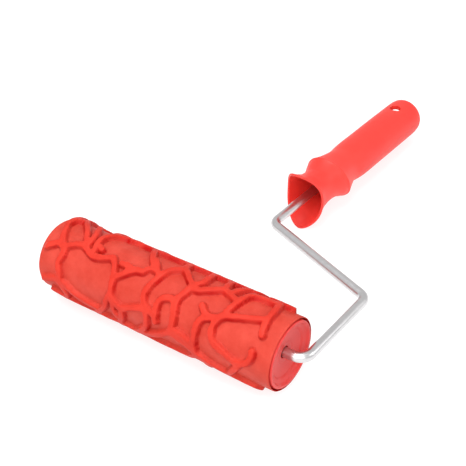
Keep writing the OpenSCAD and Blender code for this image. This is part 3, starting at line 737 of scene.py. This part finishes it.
def skin_ring(station, wall=0.0):
    """An ellipse round the handle. Towards the mouth it grows squarer, and its lower
    half draws in to a blunt tongue."""
    y, half, up, down, saddle_up, saddle_down, tilt = station
    mouthness = max(0, min(1, (167 - y) / 16))
    ring = []
    for turn in np.linspace(0, 2 * math.pi, HANDLE_SIDES, endpoint=False):
        s, c = math.sin(turn), math.cos(turn)
        saddle = (saddle_up if c > 0 else saddle_down) * c * c
        wide = math.copysign(abs(s) ** (1 + (0 if c > 0 else 0.15) * mouthness), s)
        tall = math.copysign(abs(c) ** (1 - 0.13 * mouthness), c)
        height = ((up if c > 0 else down) - wall) * tall
        ring.append((HANDLE_X + (half - wall) * wide, y - tilt * c - saddle, height))
    return ring


def handle_skin():
    """The moulding's skin, from the tail to the lip and back inside the cup."""
    grip = [s for s in SKIN if s[0] <= 300]
    outside = list(spline(grip, HANDLE_STEPS)[::-1])
    tail = list(spline(SKIN[-3:], HANDLE_STEPS)[:0:-1])
    inside = spline(SKIN[:3], HANDLE_STEPS)
    rings = [skin_ring(s) for s in tail + outside[:-1]]
    lip = np.array(SKIN[0], float)
    half_wall = CUP_WALL / 2
    for t in np.linspace(0, math.pi, 7):
        edge = lip.copy()
        edge[0] += half_wall * (1 - math.sin(t))
        rings.append(skin_ring(edge, half_wall * (1 - math.cos(t))))
    behind_lip = np.array([half_wall, 0, 0, 0, 0, 0, 0])
    rings += [skin_ring(s + behind_lip, CUP_WALL) for s in inside[1:]]
    neck = [inside[-1] + behind_lip] + [np.array(s) for s in CUP_NECK]
    rings += [skin_ring(s, CUP_WALL) for s in spline(neck, HANDLE_STEPS)[1:]]
    verts = [p for ring in rings for p in ring]
    faces = ring_faces(len(rings), HANDLE_SIDES)
    faces.append(tuple(range(HANDLE_SIDES)))
    last = (len(rings) - 1) * HANDLE_SIDES
    faces.append(tuple(last + k for k in range(HANDLE_SIDES)))
    obj = make_object("handle_moulding", verts, faces)
    outward_normals(obj)
    return obj


def rib_pocket(index):
    """One of the four pockets between the ribs round the rod's boss."""
    start = math.radians(90 * index) + math.radians(45)
    steps = 14
    verts, faces = [], []
    stop = TAIL_Y - POLE_DEPTH + 0.5
    for y in (RIB_CAVITY_Y, stop):
        for r in (BOSS_R, RIB_CAVITY_R):
            trim = math.asin(RIB_T / 2 / r)
            for t in np.linspace(start + trim, start + math.pi / 2 - trim, steps):
                verts.append((HANDLE_X + r * math.sin(t), y, r * math.cos(t)))
    inner0, outer0, inner1, outer1 = 0, steps, 2 * steps, 3 * steps
    for k in range(steps - 1):
        faces.append((inner0 + k, inner0 + k + 1, outer0 + k + 1, outer0 + k))
        faces.append((inner1 + k, outer1 + k, outer1 + k + 1, inner1 + k + 1))
        faces.append((inner0 + k, inner1 + k, inner1 + k + 1, inner0 + k + 1))
        faces.append((outer0 + k, outer0 + k + 1, outer1 + k + 1, outer1 + k))
    for k in (0, steps - 1):
        faces.append((inner0 + k, outer0 + k, outer1 + k, inner1 + k))
    obj = make_object(f"pocket_{index}", verts, faces)
    outward_normals(obj)
    return obj


def moulded_handle():
    """The skin with its hanging hole, pole socket, bore for the rod and rib pockets."""
    obj = handle_skin()
    stop = TAIL_Y - POLE_DEPTH
    centre = (HANDLE_X, 0, 0)
    pole = [(stop, POLE_R), (TAIL_Y - 0.9, POLE_R), (TAIL_Y + 0.1, POLE_R + SOCKET_CHAMFER),
            (TAIL_Y + 4, POLE_R + SOCKET_CHAMFER)]
    tang = [(CUP_FLOOR_Y - 4, ROD_R + 0.02), (ROD_END_Y + 0.3, ROD_R + 0.02)]
    hang = [(-30, HANG_R), (30, HANG_R)]
    cutters = [
        lathe("cut_hang", hang, 61, "z", (HANDLE_X, HANG_Y, 0), looped=False),
        lathe("cut_pole", pole, 96, "y", centre, looped=False),
        lathe("cut_tang", tang, 48, "y", centre, looped=False),
    ]
    cutters += [rib_pocket(i) for i in range(4)]
    cut(obj, cutters)
    shade(obj, 35)
    return obj


# -------------------------------------------------------------------- camera and lights
AIM = Vector((-10.79, 83.84, 0))
CAMERA_AZIMUTH = math.radians(35.12)
CAMERA_ELEVATION = math.radians(34.04)
CAMERA_ROLL = math.radians(0.16)
CAMERA_DISTANCE = 705.8
LENS = 79.87


def add_camera():
    """The camera at the photo's angle, aimed and placed in the tool's frame."""
    back = Vector((math.sin(CAMERA_AZIMUTH) * math.cos(CAMERA_ELEVATION),
                   -math.cos(CAMERA_AZIMUTH) * math.cos(CAMERA_ELEVATION),
                   math.sin(CAMERA_ELEVATION)))
    right = Vector((0, 0, 1)).cross(back).normalized()
    up = back.cross(right)
    turned_right = right * math.cos(CAMERA_ROLL) + up * math.sin(CAMERA_ROLL)
    turned_up = up * math.cos(CAMERA_ROLL) - right * math.sin(CAMERA_ROLL)
    pose = Matrix((turned_right, turned_up, back)).transposed().to_4x4()
    place = (AIM + back * CAMERA_DISTANCE) * MM
    data = bpy.data.cameras.new("camera")
    data.lens = LENS
    data.sensor_width = 36
    data.clip_start = 0.01
    camera = bpy.data.objects.new("camera", data)
    camera.matrix_world = TOOL @ Matrix.Translation(place) @ pose
    bpy.context.scene.collection.objects.link(camera)
    bpy.context.scene.camera = camera


def add_area(name, place, target, size, watts):
    """A soft white rectangular light, in metres, aimed at its target."""
    data = bpy.data.lights.new(name, "AREA")
    data.shape = "RECTANGLE"
    data.size, data.size_y = size
    data.energy = watts
    light = bpy.data.objects.new(name, data)
    light.location = place
    light.rotation_euler = (Vector(target) - Vector(place)).to_track_quat("-Z", "Y").to_euler()
    bpy.context.scene.collection.objects.link(light)


def add_world():
    """A grey sky that is darkest at the horizon, so that the rod gets darker edges."""
    world = bpy.data.worlds.new("studio")
    world.use_nodes = True
    nodes, links = world.node_tree.nodes, world.node_tree.links
    split = nodes.new("ShaderNodeSeparateXYZ")
    links.new(nodes.new("ShaderNodeTexCoord").outputs["Generated"], split.inputs["Vector"])
    height = nodes.new("ShaderNodeMapRange")
    height.inputs["From Min"].default_value = -1
    links.new(split.outputs["Z"], height.inputs["Value"])
    greys = [(0.0, 0.8), (0.5, 0.34), (0.6, 0.75), (1.0, 0.66)]
    sky = ramp(nodes, links, height.outputs["Result"], [(place, (g, g, g)) for place, g in greys])
    links.new(sky, nodes["Background"].inputs["Color"])
    nodes["Background"].inputs["Strength"].default_value = 1.0
    bpy.context.scene.world = world


def add_floor():
    plane = bmesh.new()
    bmesh.ops.create_grid(plane, x_segments=8, y_segments=8, size=4)
    mesh = bpy.data.meshes.new("floor")
    plane.to_mesh(mesh)
    plane.free()
    floor = bpy.data.objects.new("floor", mesh)
    floor.data.materials.append(floor_paper())
    bpy.context.scene.collection.objects.link(floor)


def add_studio():
    add_area("key", (-0.05, -0.4, 1.25), (0, 0, 0), (0.8, 0.8), 12.5)
    add_area("fill", (0.45, -0.95, 0.6), (0, 0, 0), (1.0, 0.7), 8)
    add_area("side", (1.0, 0.45, 0.7), (0.05, -0.05, 0), (0.6, 0.6), 3)
    add_world()
    bpy.context.scene.view_settings.view_transform = "Standard"
    add_floor()


# ------------------------------------------------------------------------------- build
def dress(obj, body, slot, material, *nodes):
    """Gives a new piece its material and body, and hides the CAD nodes it stands for. The slot is not used."""
    obj.data.materials.clear()
    obj.data.materials.append(material)
    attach(obj, body)
    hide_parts(*nodes)


def paint(node, material):
    """Gives a CAD node that keeps its shape its material."""
    obj = frame["nodes"][node]
    obj.data.materials.clear()
    obj.data.materials.append(material)


add_camera()
add_studio()

cap_red = red_plastic("cap_plastic", (0.58, 0.030, 0.026), (0.64, 0.038, 0.032), 0.36, 0.1, 0.3)
handle_red = red_plastic("handle_plastic", (0.73, 0.030, 0.021), (0.79, 0.042, 0.030), 0.46, 0.12, 0.35)
plating = zinc_steel()
dress(pattern_sleeve(), "roller", "sleeve_rubber", sleeve_rubber(), "pattern_sleeve")
dress(end_cap("cap_near", 1), "roller", "cap_plastic", cap_red, "end_cap_near")
dress(end_cap("cap_far", -1), "roller", "cap_plastic", cap_red, "end_cap_far")
dress(bent_rod(), "frame", "rod_chrome", chrome(), "frame_rod")
dress(moulded_handle(), "frame", "handle_plastic", handle_red, "handle")
paint("core_tube", plain_plastic("core_plastic", (0.62, 0.62, 0.6), (0.7, 0.7, 0.68), 0.5))
bush_white = plain_plastic("bush_plastic", (0.8, 0.79, 0.74), (0.86, 0.85, 0.8), 0.35)
for bush in ("bush_near", "bush_far"):
    paint(bush, bush_white)
for steel in ("washer_near", "stop_ring", "washer_far", "push_nut"):
    paint(steel, plating)
